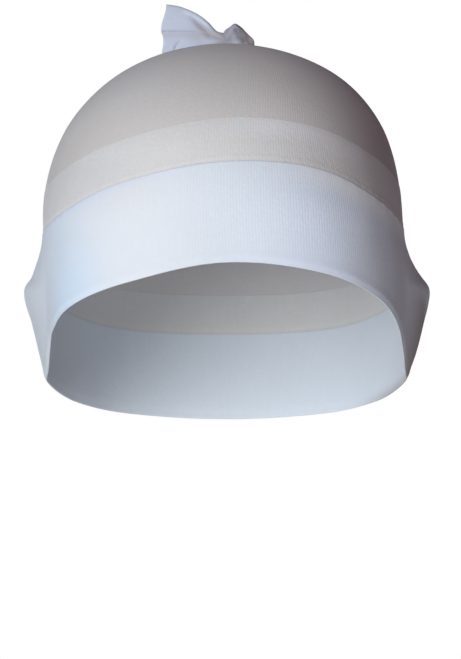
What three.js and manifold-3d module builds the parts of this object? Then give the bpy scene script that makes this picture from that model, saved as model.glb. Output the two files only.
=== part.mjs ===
// A knitted cap that is worn under a wig, modelled as it sits stretched over a head.
// It is a stocking-like tube: a sheer crown, a denser hem band below it and a wide doubled
// cuff that runs from the forehead over the ears to the nape. The tube's upper end is
// gathered into a neck, tied in a knot on top of the head, and ends in a flared tail.
// Millimetres. +Z is up, the wearer faces -Y, and the wearer's left is +X.
// The origin is inside the crown, where the top of the wearer's head touches it.
import * as THREE from "three";
import { mergeVertices } from "three/addons/utils/BufferGeometryUtils.js";
import Module from "manifold-3d";

const wasm = await Module();
wasm.setup();

// The head that stretches the cap
const HEAD_HALF_WIDTH = 74.2;
const HEAD_FRONT = 107;
const HEAD_BACK = 83;
const WIDEST_LEVEL = -74;
const FRONT_ROUNDNESS = 2.15;
const BACK_ROUNDNESS = 2.05;
const DOME_ROUNDNESS = 2.13;

// The forehead is squarer in plan than the dome above it, and the change is gradual
const FOREHEAD_ROUNDNESS = 2.5;
const FOREHEAD_TOP = -52;
const FOREHEAD_FULL = -80;

// The head leans a little: its middle lies to the wearer's left at the top and swings back at
// the temples
const LEAN_ASIDE = 0.6;
const LEAN_BACK = 1.6;
const LEAN_LEVEL = -64;
const LEAN_SPREAD = 30;

// Cloth thickness
const CROWN_WALL = 1.0;
const HEM_WALL = 1.1;
const CUFF_WALL = 1.5;
const PIECE_GAP = 0.3;
// How far a band's rounded rim stands beyond its faces, as a share of the wall
const RIM_ROUNDING = 0.25;

// The gathered neck below the knot, and the pleats that run out from it
const NECK_SEAT = new THREE.Vector3(6, 28, 0);
const NECK_RADIUS = 5.2;
const NECK_LIFT = 4.6;
const NECK_FADE = 4.2;
const PLEATS = 11;
const PLEAT_DEPTH = 0.7;
const PLEAT_FADE = 13;

// Mesh fineness
const AROUND = 72;
const CROWN_ROWS = 16;
const CROWN_CROWDING = 1.6;
const HEM_ROWS = 2;
const CUFF_ROWS = 7;

// How much of each reach is left below the widest level of the head
const HEAD_TAPER = [
  { z: -170, side: 0.88, front: 0.97, back: 0.72 },
  { z: -150, side: 0.92, front: 0.985, back: 0.83 },
  { z: -130, side: 0.955, front: 0.995, back: 0.93 },
  { z: -110, side: 0.98, front: 1.0, back: 0.985 },
  { z: -90, side: 0.995, front: 1.0, back: 1.0 },
  { z: WIDEST_LEVEL, side: 1.0, front: 1.0, back: 1.0 },
];

// How far the covered ears push the cloth off the head, where their rims lie, and how far ahead
// of the rim the cloth is back on the head
const EAR_STAND = [
  { z: -170, left: 4.0, right: 3.0, crest: -6, ahead: 18 },
  { z: -152, left: 5.2, right: 4.3, crest: -5, ahead: 18 },
  { z: -138, left: 6.3, right: 5.1, crest: -3, ahead: 20 },
  { z: -128, left: 7.6, right: 6.5, crest: 0, ahead: 26 },
  { z: -114.5, left: 10.2, right: 8.9, crest: 4, ahead: 36 },
  { z: -107.5, left: 11.6, right: 10.7, crest: 5, ahead: 40 },
  { z: -101.5, left: 11.4, right: 10.4, crest: 4, ahead: 42 },
  { z: -97.4, left: 8.8, right: 7.1, crest: 2, ahead: 44 },
  { z: -94, left: 6.2, right: 5.4, crest: 1, ahead: 46 },
  { z: -90.6, left: 4.0, right: 3.7, crest: 0, ahead: 46 },
  { z: -87.3, left: 2.4, right: 2.1, crest: -2, ahead: 46 },
  { z: -83.9, left: 1.2, right: 0.9, crest: -3, ahead: 46 },
  { z: -80, left: 0.3, right: 0.2, crest: -5, ahead: 46 },
  { z: WIDEST_LEVEL, left: 0, right: 0, crest: -6, ahead: 46 },
];
const EAR_REAR_REACH = 36;
const EAR_RIM_ROUNDING = 0.1;
const EAR_FOOT_ROUNDING = 0.12;

// Heights of the three knitted edges by bearing in degrees: 0 at the forehead, 90 over the
// wearer's left ear, 180 at the nape. The first and last rows carry the curve past the nape.
const EDGES = [
  { bearing: -220, hemTop: -99.4, cuffTop: -117.4, lowEdge: -155.4 },
  { bearing: -180, hemTop: -102.5, cuffTop: -120.5, lowEdge: -158.5 },
  { bearing: -140, hemTop: -99.6, cuffTop: -117.6, lowEdge: -155.5 },
  { bearing: -112, hemTop: -91.0, cuffTop: -109.0, lowEdge: -149.5 },
  { bearing: -94, hemTop: -76.0, cuffTop: -93.0, lowEdge: -142.5 },
  { bearing: -80, hemTop: -64.8, cuffTop: -80.8, lowEdge: -136.9 },
  { bearing: -66, hemTop: -60.8, cuffTop: -79.2, lowEdge: -125.9 },
  { bearing: -54, hemTop: -58.2, cuffTop: -77.4, lowEdge: -119.0 },
  { bearing: -40, hemTop: -52.7, cuffTop: -72.6, lowEdge: -109.9 },
  { bearing: -20, hemTop: -44.2, cuffTop: -62.5, lowEdge: -100.5 },
  { bearing: 0, hemTop: -38.2, cuffTop: -55.7, lowEdge: -93.3 },
  { bearing: 20, hemTop: -40.5, cuffTop: -57.7, lowEdge: -96.9 },
  { bearing: 40, hemTop: -48.9, cuffTop: -68.3, lowEdge: -107.9 },
  { bearing: 54, hemTop: -54.7, cuffTop: -74.6, lowEdge: -116.9 },
  { bearing: 66, hemTop: -58.3, cuffTop: -76.8, lowEdge: -123.1 },
  { bearing: 80, hemTop: -61.6, cuffTop: -78.2, lowEdge: -134.9 },
  { bearing: 94, hemTop: -72.5, cuffTop: -89.5, lowEdge: -142.0 },
  { bearing: 112, hemTop: -89.5, cuffTop: -107.5, lowEdge: -149.0 },
  { bearing: 140, hemTop: -99.4, cuffTop: -117.4, lowEdge: -155.4 },
  { bearing: 180, hemTop: -102.5, cuffTop: -120.5, lowEdge: -158.5 },
  { bearing: 220, hemTop: -99.6, cuffTop: -117.6, lowEdge: -155.5 },
];

// The knot: a strand that rises from the neck and bends over, and a wrap around it
const STRAND = [
  { x: 6.2, y: 28.0, z: 0.5, radius: 5.0 },
  { x: 8.0, y: 28.2, z: 5.2, radius: 4.8 },
  { x: 6.6, y: 28.1, z: 8.2, radius: 4.5 },
  { x: 2.0, y: 27.8, z: 8.0, radius: 4.0 },
  { x: -2.2, y: 27.6, z: 7.1, radius: 3.6 },
];
const WRAP_CENTRE = new THREE.Vector3(3.0, 28, 6.4);
const WRAP_RING_RADIUS = 5.2;
const WRAP_HALF_WIDTH = 4.3;
const WRAP_HALF_DEPTH = 3.2;
const WRAP_LEAN = THREE.MathUtils.degToRad(12);
const WRAP_END = THREE.MathUtils.degToRad(115);
const WRAP_FOLDS = 3;
const WRAP_FOLD_DEPTH = 0.09;
const WRAP_DIMPLE = 0.6;

// The tail: a flattened tube from the knot to its open mouth, by its upper and lower edges and
// half its depth; its folds run along it, each at a place across it from lower to upper edge
const TAIL = [
  { share: 0, topX: -3.5, topZ: 10.7, lowX: -3.4, lowZ: 3.4, half: 3.5 },
  { share: 0.2, topX: -6.9, topZ: 14.3, lowX: -6.6, lowZ: 1.6, half: 3.1 },
  { share: 0.4, topX: -11.4, topZ: 18.3, lowX: -11.0, lowZ: -0.2, half: 2.8 },
  { share: 0.6, topX: -16.0, topZ: 20.9, lowX: -15.6, lowZ: -1.7, half: 2.6 },
  { share: 0.8, topX: -20.7, topZ: 22.6, lowX: -20.1, lowZ: -3.0, half: 2.5 },
  { share: 1, topX: -25.4, topZ: 23.1, lowX: -24.6, lowZ: -4.2, half: 2.4 },
];
const TAIL_Y = 27.8;
const TAIL_WALL = 1.0;
const TAIL_MOUTH_BULGE = 2.3;
const TAIL_ROUNDNESS = 0.7;
const TAIL_FOLD_GROWTH = 2.5;
const TAIL_POCKET_START = 0.25;
const TAIL_ROWS = 10;
const TAIL_AROUND = 36;
const TAIL_FOLDS = [
  { across: 0.9, width: 0.07, depth: -1.0 },
  { across: 0.74, width: 0.07, depth: 1.5 },
  { across: 0.6, width: 0.08, depth: -0.7 },
  { across: 0.47, width: 0.05, depth: 0.9 },
  { across: 0.3, width: 0.12, depth: -1.1 },
];

// Reads one column of a table at a place between its rows, along a smooth curve
function readTable(rows, key, column, at) {
  const last = rows.length - 1;
  const x = THREE.MathUtils.clamp(at, rows[0][key], rows[last][key]);
  let i = 0;
  while (i < last - 1 && x > rows[i + 1][key]) i += 1;
  const slope = (k) => {
    const a = rows[Math.max(k - 1, 0)];
    const b = rows[Math.min(k + 1, last)];
    return (b[column] - a[column]) / (b[key] - a[key]);
  };
  const span = rows[i + 1][key] - rows[i][key];
  const t = (x - rows[i][key]) / span;
  const flow = t * t * (3 - 2 * t);
  const bend = slope(i) * t * (1 - t) * (1 - t) - slope(i + 1) * t * t * (1 - t);
  return rows[i][column] * (1 - flow) + rows[i + 1][column] * flow + bend * span;
}

// Height of a knitted edge at a bearing in radians
function edgeHeight(column, bearing) {
  return readTable(EDGES, "bearing", column, THREE.MathUtils.radToDeg(bearing));
}

// How square the front of the head is in plan at a height
function frontRoundness(z) {
  const share = THREE.MathUtils.smoothstep(z, FOREHEAD_FULL, FOREHEAD_TOP);
  return THREE.MathUtils.lerp(FOREHEAD_ROUNDNESS, FRONT_ROUNDNESS, share);
}

// Distance from the head's upright axis to its side at the widest level or below
function planReach(bearing, z) {
  const level = Math.min(z, WIDEST_LEVEL);
  const ahead = Math.cos(bearing) > 0;
  const side = HEAD_HALF_WIDTH * readTable(HEAD_TAPER, "z", "side", level);
  const along = ahead
    ? HEAD_FRONT * readTable(HEAD_TAPER, "z", "front", level)
    : HEAD_BACK * readTable(HEAD_TAPER, "z", "back", level);
  const power = ahead ? frontRoundness(z) : BACK_ROUNDNESS;
  const across = Math.abs(Math.sin(bearing) / side) ** power;
  return (across + Math.abs(Math.cos(bearing) / along) ** power) ** (-1 / power);
}

// How far the middle of the head lies to the wearer's left at a height
function midline(z) {
  return LEAN_ASIDE - LEAN_BACK * Math.exp(-(((z - LEAN_LEVEL) / LEAN_SPREAD) ** 2));
}

// How far the cloth stands off the head over an ear: a tent with its ridge on the ear's rim
function earStand(bearing, z, reach) {
  if (z >= WIDEST_LEVEL) return 0;
  const column = bearing > 0 ? "left" : "right";
  const from = -reach * Math.cos(bearing) - readTable(EAR_STAND, "z", "crest", z);
  const ahead = readTable(EAR_STAND, "z", "ahead", z);
  const away = Math.abs(from) / (from < 0 ? ahead : EAR_REAR_REACH);
  const slope = 1 + EAR_RIM_ROUNDING - Math.hypot(away, EAR_RIM_ROUNDING);
  const tent = (slope + Math.hypot(slope, EAR_FOOT_ROUNDING)) / 2;
  return readTable(EAR_STAND, "z", column, z) * tent * Math.abs(Math.sin(bearing));
}

// A point on the inside of the cap's lower part, by bearing and height
function sidePoint(bearing, z) {
  const reach = planReach(bearing, z);
  const rise = Math.max(z - WIDEST_LEVEL, 0) / -WIDEST_LEVEL;
  const shrink = (1 - rise ** DOME_ROUNDNESS) ** (1 / DOME_ROUNDNESS);
  const out = reach * shrink + earStand(bearing, z, reach);
  return new THREE.Vector3(midline(z) + out * Math.sin(bearing), -out * Math.cos(bearing), z);
}

// How far a point lies outside the inside surface: below 0 within it, above 0 beyond it
function beyond(point) {
  const aside = point.x - midline(point.z);
  const bearing = Math.atan2(aside, -point.y);
  const reach = planReach(bearing, point.z);
  const rise = Math.max(point.z - WIDEST_LEVEL, 0) / -WIDEST_LEVEL;
  const out = Math.hypot(aside, point.y) / (reach + earStand(bearing, point.z, reach));
  return out ** DOME_ROUNDNESS + rise ** DOME_ROUNDNESS - 1;
}

const HEAD_CENTRE = new THREE.Vector3(0, 0, WIDEST_LEVEL);

// Where a line from the middle of the head meets the inside surface
function castOut(direction) {
  let near = 20;
  let far = 160;
  for (let step = 0; step < 40; step += 1) {
    const middle = (near + far) / 2;
    const point = direction.clone().multiplyScalar(middle).add(HEAD_CENTRE);
    if (beyond(point) > 0) far = middle;
    else near = middle;
  }
  return direction.clone().multiplyScalar(near).add(HEAD_CENTRE);
}

// Height of the inside surface under the knot
const seatHeight = () => {
  const over = NECK_SEAT.clone();
  let low = WIDEST_LEVEL;
  let high = 0;
  for (let step = 0; step < 40; step += 1) {
    const middle = (low + high) / 2;
    if (beyond(over.setZ(middle)) > 0) high = middle;
    else low = middle;
  }
  return low;
};
const KNOT_SEAT = NECK_SEAT.clone().setZ(seatHeight());
const KNOT_LINE = KNOT_SEAT.clone().sub(HEAD_CENTRE);
const KNOT_AXIS = KNOT_LINE.clone().normalize();
const KNOT_SIDE = new THREE.Vector3(1, 0, 0).cross(KNOT_AXIS).normalize();

// A surface function moved out along its own normal by the cloth's thickness
function thickened(surface, bearing, at, wall) {
  const step = 1e-3;
  const along = surface(bearing + step, at).sub(surface(bearing - step, at));
  const up = surface(bearing, at + step).sub(surface(bearing, at - step));
  return surface(bearing, at).addScaledVector(along.cross(up).normalize(), wall);
}

// Where a point of the crown lies as seen from the knot: its angle from it and its turn around it
function crownCourse(bearing, share) {
  const start = sidePoint(bearing, edgeHeight("hemTop", bearing)).sub(HEAD_CENTRE);
  const tight = NECK_RADIUS / KNOT_LINE.length();
  const angle = tight + (start.angleTo(KNOT_LINE) - tight) * (1 - share);
  const turn = KNOT_LINE.clone().cross(start).normalize();
  const beyondNeck = angle * KNOT_LINE.length() - NECK_RADIUS;
  return { angle, turn, beyondNeck, around: Math.atan2(turn.dot(KNOT_SIDE), turn.x) };
}

// The crown without its pleats: share 0 on the hem's upper edge, 1 at the neck
function crownPoint(bearing, share) {
  const { angle, turn, beyondNeck } = crownCourse(bearing, share);
  const point = castOut(KNOT_AXIS.clone().applyAxisAngle(turn, angle));
  return point.addScaledVector(KNOT_AXIS, NECK_LIFT * Math.exp(-beyondNeck / NECK_FADE));
}

// A point of the pleated crown, on its inside or the given distance out from it
function pleatedPoint(bearing, share, out) {
  const { beyondNeck, around } = crownCourse(bearing, share);
  const point = thickened(crownPoint, bearing, share, out);
  const pleat = PLEAT_DEPTH * Math.exp(-beyondNeck / PLEAT_FADE) * Math.cos(PLEATS * around);
  return point.addScaledVector(point.clone().sub(HEAD_CENTRE).normalize(), pleat);
}

// Joins rows of points into a closed mesh. Each row is a ring of as many points, or one point.
function skinned(rows, looped) {
  const positions = rows.flat().flatMap((p) => [p.x, p.y, p.z]);
  const starts = [];
  let count = 0;
  for (const row of rows) {
    starts.push(count);
    count += row.length;
  }
  const ring = Math.max(...rows.map((row) => row.length));
  const index = [];
  const bands = looped ? rows.length : rows.length - 1;
  for (let r = 0; r < bands; r += 1) {
    const next = (r + 1) % rows.length;
    for (let k = 0; k < ring; k += 1) {
      const at = (row, i) => starts[row] + (i % rows[row].length);
      const [a, b] = [at(r, k), at(r, k + 1)];
      const [c, d] = [at(next, k), at(next, k + 1)];
      if (a !== b) index.push(a, b, d);
      if (c !== d) index.push(a, d, c);
    }
  }
  const geometry = new THREE.BufferGeometry();
  geometry.setAttribute("position", new THREE.Float32BufferAttribute(positions, 3));
  geometry.setIndex(index);
  return geometry;
}

// Bearings of the mesh columns, and even steps from 0 to 1
const bearings = Array.from({ length: AROUND }, (_, i) => -Math.PI + (i * 2 * Math.PI) / AROUND);
const ringOf = (make) => bearings.map(make);
const shares = (rows) => Array.from({ length: rows + 1 }, (_, i) => i / rows);

const middleOf = (ring) =>
  ring.reduce((sum, p) => sum.add(p), new THREE.Vector3()).divideScalar(ring.length);

// Rings of the crown from the hem up to the neck, closer together towards the neck
const crownRings = (out) =>
  shares(CROWN_ROWS).map((share) =>
    ringOf((bearing) => pleatedPoint(bearing, 1 - (1 - share) ** CROWN_CROWDING, out)),
  );

// The crown, from its inner top down the inside, round the rim and up the outside
function crownGeometry() {
  const inner = crownRings(0);
  const outer = crownRings(CROWN_WALL);
  const innerTop = middleOf(inner.at(-1));
  const outerTop = middleOf(outer.at(-1)).addScaledVector(KNOT_AXIS, CROWN_WALL / 2);
  return skinned([[innerTop], ...inner.reverse(), ...outer, [outerTop]], false);
}

// Everything inside the crown's outer side and a little beyond it, which the knot keeps out of
function crownRoomGeometry() {
  const rings = crownRings(CROWN_WALL + PIECE_GAP);
  const top = middleOf(rings.at(-1)).addScaledVector(KNOT_AXIS, CROWN_WALL);
  return skinned([[HEAD_CENTRE], ...rings, [top]], false);
}

// A band between two knitted edges, with rounded rims
function bandGeometry(lowAt, topAt, wall, rows) {
  const height = (bearing, share) => {
    const low = lowAt(bearing);
    return low + (topAt(bearing) - low) * share;
  };
  const surface = (bearing, share) => sidePoint(bearing, height(bearing, share));
  const levels = shares(rows);
  const row = (share, out) => ringOf((b) => thickened(surface, b, share, out));
  const inner = levels.map((share) => ringOf((b) => surface(b, share)));
  const outer = levels.map((share) => row(share, wall));
  const rounding = RIM_ROUNDING * wall;
  const rim = (share, out, drop) => row(share, out).map((p) => p.setZ(p.z + drop));
  const low = rim(0, wall / 2, -rounding);
  const top = rim(1, wall / 2, rounding);
  return skinned([...outer, top, ...inner.reverse(), low], true);
}

// A closed geometry as a solid that can be joined and cut
const solidOf = (geometry) => {
  const bare = geometry.clone();
  bare.deleteAttribute("normal");
  bare.deleteAttribute("uv");
  const merged = mergeVertices(bare, 1e-4);
  return new wasm.Manifold(
    new wasm.Mesh({
      numProp: 3,
      vertProperties: new Float32Array(merged.attributes.position.array),
      triVerts: new Uint32Array(merged.index.array),
    }),
  );
};

const geometryOf = (solid) => {
  const mesh = solid.getMesh();
  const geometry = new THREE.BufferGeometry();
  geometry.setAttribute("position", new THREE.BufferAttribute(mesh.vertProperties, 3));
  geometry.setIndex(new THREE.BufferAttribute(mesh.triVerts, 1));
  return geometry;
};

// The strand inside the knot: a tube with closed ends along a smooth line
function strandGeometry() {
  const sides = 14;
  const steps = 12;
  const line = new THREE.CatmullRomCurve3(STRAND.map((p) => new THREE.Vector3(p.x, p.y, p.z)));
  const rows = STRAND.map((p, i) => ({ at: i / (STRAND.length - 1), radius: p.radius }));
  const rings = shares(steps).map((share) => {
    const centre = line.getPoint(share);
    const ahead = line.getTangent(share);
    const side = new THREE.Vector3(0, 1, 0).cross(ahead).normalize();
    const back = ahead.clone().cross(side);
    const radius = readTable(rows, "at", "radius", share);
    return Array.from({ length: sides }, (_, k) => {
      const turn = (k * 2 * Math.PI) / sides;
      return centre
        .clone()
        .addScaledVector(side, radius * Math.cos(turn))
        .addScaledVector(back, radius * Math.sin(turn));
    });
  });
  return skinned([[line.getPoint(0)], ...rings, [line.getPoint(1)]], false);
}

// The wrap round the strand: a soft roll with folds that run along it and a dimple at each end
function wrapGeometry() {
  const sides = 12;
  const steps = 26;
  const lean = new THREE.Matrix4().makeRotationY(WRAP_LEAN);
  const rings = Array.from({ length: sides + 1 }, (_, k) => {
    const round = WRAP_END * ((2 * k) / sides - 1);
    return Array.from({ length: steps }, (_, i) => {
      const turn = (i * 2 * Math.PI) / steps;
      const out = new THREE.Vector3(0, -Math.sin(turn), Math.cos(turn));
      const fold = 1 - WRAP_FOLD_DEPTH * (1 + Math.cos(WRAP_FOLDS * round + turn));
      const reach = WRAP_RING_RADIUS + WRAP_HALF_DEPTH * fold * Math.cos(round);
      const across = WRAP_HALF_WIDTH * fold * Math.sin(round);
      return out.clone().multiplyScalar(reach).setX(across).applyMatrix4(lean).add(WRAP_CENTRE);
    });
  });
  const hub = (k) => {
    const across = WRAP_HALF_WIDTH * WRAP_DIMPLE * Math.sin(WRAP_END * k);
    return [new THREE.Vector3(across, 0, 0).applyMatrix4(lean).add(WRAP_CENTRE)];
  };
  return skinned([hub(-1), ...rings, hub(1)], false);
}

// A point on the flattened tail: along 0 at the knot and 1 at the mouth, turn runs round the tube
function tailPoint(along, turn, inset) {
  const read = (column) => readTable(TAIL, "share", column, along);
  const top = new THREE.Vector3(read("topX"), TAIL_Y, read("topZ"));
  const low = new THREE.Vector3(read("lowX"), TAIL_Y, read("lowZ"));
  const height = top.distanceTo(low) / 2;
  const across = (1 + Math.sin(turn) * (1 - inset / height)) / 2;
  const point = low.lerp(top, across);
  const bulge = TAIL_MOUTH_BULGE * along * along * Math.sin(Math.PI * across);
  const fold = TAIL_FOLDS.reduce(
    (sum, f) => sum + f.depth * Math.exp(-(((across - f.across) / f.width) ** 2)),
    0,
  );
  const forward = Math.cos(turn);
  const half = (read("half") - inset) * Math.sign(forward) * Math.abs(forward) ** TAIL_ROUNDNESS;
  const grown = Math.min(1, along * TAIL_FOLD_GROWTH);
  return point.add(new THREE.Vector3(-bulge, fold * grown - half, 0));
}

// The tail, closed at the knot and with a pocket that is open at the mouth
function tailGeometry() {
  const turns = Array.from({ length: TAIL_AROUND }, (_, k) => (k * 2 * Math.PI) / TAIL_AROUND);
  const row = (along, inset) => turns.map((turn) => tailPoint(along, turn, inset));
  const outer = shares(TAIL_ROWS).map((along) => row(along, 0));
  const inner = shares(TAIL_ROWS)
    .filter((along) => along > TAIL_POCKET_START)
    .map((along) => row(along, TAIL_WALL));
  const root = middleOf(outer[0]);
  const pocket = middleOf(inner[0]);
  return skinned([[root], ...outer, ...inner.reverse(), [pocket]], false);
}

// A named mesh of knitted cloth
function cloth(name, geometry, colour) {
  const material = new THREE.MeshStandardMaterial({ color: colour, roughness: 0.9, metalness: 0 });
  geometry.computeVertexNormals();
  const mesh = new THREE.Mesh(geometry, material);
  mesh.name = name;
  return mesh;
}

const hemTop = (bearing) => edgeHeight("hemTop", bearing) - PIECE_GAP - RIM_ROUNDING * HEM_WALL;
const hemLow = (bearing) => edgeHeight("cuffTop", bearing) + PIECE_GAP + RIM_ROUNDING * HEM_WALL;
const cuffTop = (bearing) => edgeHeight("cuffTop", bearing) - RIM_ROUNDING * CUFF_WALL;
const cuffLow = (bearing) => edgeHeight("lowEdge", bearing);

const crownRoom = solidOf(crownRoomGeometry());
const knotSolid = solidOf(strandGeometry()).add(solidOf(wrapGeometry())).subtract(crownRoom);

const cap = new THREE.Group();
cap.add(cloth("crown", crownGeometry(), 0xb4aca6));
cap.add(cloth("hem_band", bandGeometry(hemLow, hemTop, HEM_WALL, HEM_ROWS), 0xcdc9c7));
cap.add(cloth("cuff_band", bandGeometry(cuffLow, cuffTop, CUFF_WALL, CUFF_ROWS), 0xdde3ec));
cap.add(cloth("knot", geometryOf(knotSolid), 0xb4b4c4));
cap.add(cloth("tail", tailGeometry(), 0xc2cbe0));

export default cap;
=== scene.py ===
# %% [markdown]
# # A knitted wig cap
# The cap is a stocking-like tube of fine knit: a sheer crown, a denser hem zone below it and a
# wide doubled cuff at the bottom. Its upper end is gathered, tied in a knot and left as a short
# flared tail. The packed CAD model already has these five parts at their true size, so this
# lesson loads it as a fixed frame and dresses each part with cloth of its own.

# %% Load the packed cap
import math

import bpy
import numpy as np
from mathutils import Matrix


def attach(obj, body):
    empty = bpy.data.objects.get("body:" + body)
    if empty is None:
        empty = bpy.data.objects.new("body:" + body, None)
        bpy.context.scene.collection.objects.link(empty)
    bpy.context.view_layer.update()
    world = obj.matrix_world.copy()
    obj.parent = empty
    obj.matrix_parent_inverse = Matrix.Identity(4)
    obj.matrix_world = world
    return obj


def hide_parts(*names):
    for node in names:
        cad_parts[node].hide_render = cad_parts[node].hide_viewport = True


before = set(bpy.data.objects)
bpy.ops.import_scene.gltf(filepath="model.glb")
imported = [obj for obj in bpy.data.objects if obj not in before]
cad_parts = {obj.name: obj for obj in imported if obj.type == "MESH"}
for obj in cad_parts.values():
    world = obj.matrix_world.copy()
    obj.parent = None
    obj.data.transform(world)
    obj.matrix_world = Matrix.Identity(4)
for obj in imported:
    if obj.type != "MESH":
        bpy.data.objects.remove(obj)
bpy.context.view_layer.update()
print("parts:", ", ".join(sorted(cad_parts)))

# %% [markdown]
# ## Where the picture is taken from
# The photograph looks straight at the front of the cap from its own height, from about a metre
# away. A camera could be placed by eye, but a lens in pixels and a place in metres let every
# pixel of the photograph be turned into a place on the cap. The creases of the knot and the tail
# need that later.


# %% Place the camera
def linked(name, data):
    """A new object for a camera, a lamp or a mesh, linked to the scene."""
    made = bpy.data.objects.new(name, data)
    bpy.context.scene.collection.objects.link(made)
    return made


PHOTO_SIZE = (461, 659)
LENS_IN_PIXELS = 2130.0
EYE = np.array([2.32, -900.0, -118.5])
MM = 0.001
SENSOR_WIDTH = 36.0

camera_data = bpy.data.cameras.new("camera")
camera_data.sensor_fit = "HORIZONTAL"
camera_data.sensor_width = SENSOR_WIDTH
camera_data.lens = SENSOR_WIDTH * LENS_IN_PIXELS / PHOTO_SIZE[0]
camera = linked("camera", camera_data)
camera.location = EYE * MM
camera.rotation_euler = (math.pi / 2, 0, 0)
bpy.context.scene.camera = camera
print(f"lens {camera_data.lens:.1f} mm, {-EYE[1]:.0f} mm in front of the cap")


# %% Turn a pixel of the photograph into a place
def behind_pixel(across, down, depth):
    """The place in mm that a pixel shows, on the upright plane y = depth."""
    scale = (depth - EYE[1]) / LENS_IN_PIXELS
    x = EYE[0] + (across - PHOTO_SIZE[0] / 2) * scale
    z = EYE[2] - (down - PHOTO_SIZE[1] / 2) * scale
    return np.array([x, depth, z])


print("the middle of the picture shows", behind_pixel(*np.array(PHOTO_SIZE) / 2, depth=0))

# %% [markdown]
# ## Shader maths that reads as maths
# A material is a tree of nodes, and linking them one by one hides what is worked out. Here a
# small class wraps a socket, and Python's operators add the Math nodes. Every other node comes
# from one method that takes the node's type, its settings and what goes into its sockets.


# %% Wrap a socket
class Wire:
    """A socket in a node tree. Sums and products of wires add their Math nodes."""

    def __init__(self, tree, socket=None):
        self.tree = tree
        self.socket = socket

    def node(self, kind, settings=None, inputs=None, output=0):
        """Any node: its type, its settings, and the values or links of its sockets."""
        made = self.tree.nodes.new(kind)
        for name, value in (settings or {}).items():
            setattr(made, name, value)
        for key, value in (inputs or {}).items():
            if isinstance(value, Wire):
                self.tree.links.new(value.socket, made.inputs[key])
            else:
                made.inputs[key].default_value = value
        return Wire(self.tree, made.outputs[output] if len(made.outputs) else None)

    def math(self, operation, *others):
        inputs = dict(enumerate([self, *others]))
        return self.node("ShaderNodeMath", {"operation": operation}, inputs)

    def __add__(self, other):
        return self.math("ADD", other)

    def __sub__(self, other):
        return self.math("SUBTRACT", other)

    def __mul__(self, other):
        return self.math("MULTIPLY", other)

    def __truediv__(self, other):
        return self.math("DIVIDE", other)

    def __pow__(self, other):
        return self.math("POWER", other)

    def __rsub__(self, other):
        return self.node("ShaderNodeMath", {"operation": "SUBTRACT"}, {0: other, 1: self})

    def __rtruediv__(self, other):
        return self.node("ShaderNodeMath", {"operation": "DIVIDE"}, {0: other, 1: self})

    def __neg__(self):
        return self.math("MULTIPLY", -1.0)

    def __abs__(self):
        return self.math("ABSOLUTE")

    __radd__ = __add__
    __rmul__ = __mul__


print("operators ready:", ", ".join(n for n in vars(Wire) if n.startswith("__r")))


# %% Small helpers on wires
def near(value, middle, reach):
    """1 where a value is the middle one, falling smoothly to 0 about two reaches away."""
    distance = (value - middle) / reach
    return (-(distance * distance)).math("EXPONENT")


def rise(value, start, end):
    """0 below start, 1 above end, and a soft slope between."""
    settings = {"interpolation_type": "SMOOTHSTEP"}
    inputs = {"Value": value, "From Min": start, "From Max": end}
    return value.node("ShaderNodeMapRange", settings, inputs)


def fall(value, start, end):
    """1 below start, 0 above end, and a soft slope between."""
    return 1 - rise(value, start, end)


def blended(factor, first, second):
    """One colour turned into another by a factor, where at least one of the three is a wire."""
    wire = next(value for value in (factor, first, second) if isinstance(value, Wire))
    return wire.node("ShaderNodeMix", {"data_type": "RGBA"}, {0: factor, 6: first, 7: second}, output=2)


def tinted(tone, *tints):
    """A colour turned into others one after another. A tint is a factor and a colour."""
    for factor, colour in tints:
        tone = blended(factor, tone, colour)
    return tone


def clouds(place, scale, detail=2.0):
    """Soft noise around 0, from about -0.5 to 0.5."""
    settings = {"noise_dimensions": "3D"}
    inputs = {"Vector": place, "Scale": scale, "Detail": detail, "Roughness": 0.55}
    return place.node("ShaderNodeTexNoise", settings, inputs) - 0.5


def parts(vector):
    """The x, y and z of a vector."""
    split = vector.node("ShaderNodeSeparateXYZ", inputs={0: vector}).socket.node
    return [Wire(vector.tree, output) for output in split.outputs]


def blank(owner):
    """A wire that adds nodes to the emptied tree of a material or a world."""
    owner.use_nodes = True
    owner.node_tree.nodes.clear()
    return Wire(owner.node_tree)


print("helpers: near, rise, fall, blended, tinted, clouds, parts, blank")

# %% [markdown]
# ## The stage
# The photograph has a plain white ground and one broad soft light from the picture's left, low
# and nearly frontal, so that the cap's right side falls into a soft shade and its top dims. A
# weaker glow comes up from the table, and a little blue comes from the far left as from a
# window. Each light's strength was found by rendering it alone and adding the renders up until
# their sum matched the photograph's shading. The white ground comes from the world, which is
# bright only for the camera and faint as a light. A lamp behind is for views from there.

# %% White surroundings
AMBIENT = 0.100
AMBIENT_TINT = (1, 0.69, 0.83, 1)
world = bpy.data.worlds.new("white_surroundings")
sky = blank(world)
seen = sky.node("ShaderNodeLightPath", output="Is Camera Ray")
faint = sky.node("ShaderNodeBackground", inputs={"Color": AMBIENT_TINT, "Strength": AMBIENT})
white = sky.node("ShaderNodeBackground", inputs={"Color": (1, 1, 1, 1), "Strength": 1.0})
ground = sky.node("ShaderNodeMixShader", inputs={0: seen, 1: faint, 2: white})
sky.node("ShaderNodeOutputWorld", inputs={"Surface": ground})
bpy.context.scene.world = world
bpy.context.scene.view_settings.view_transform = "Standard"
print("ambient light", AMBIENT)

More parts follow.
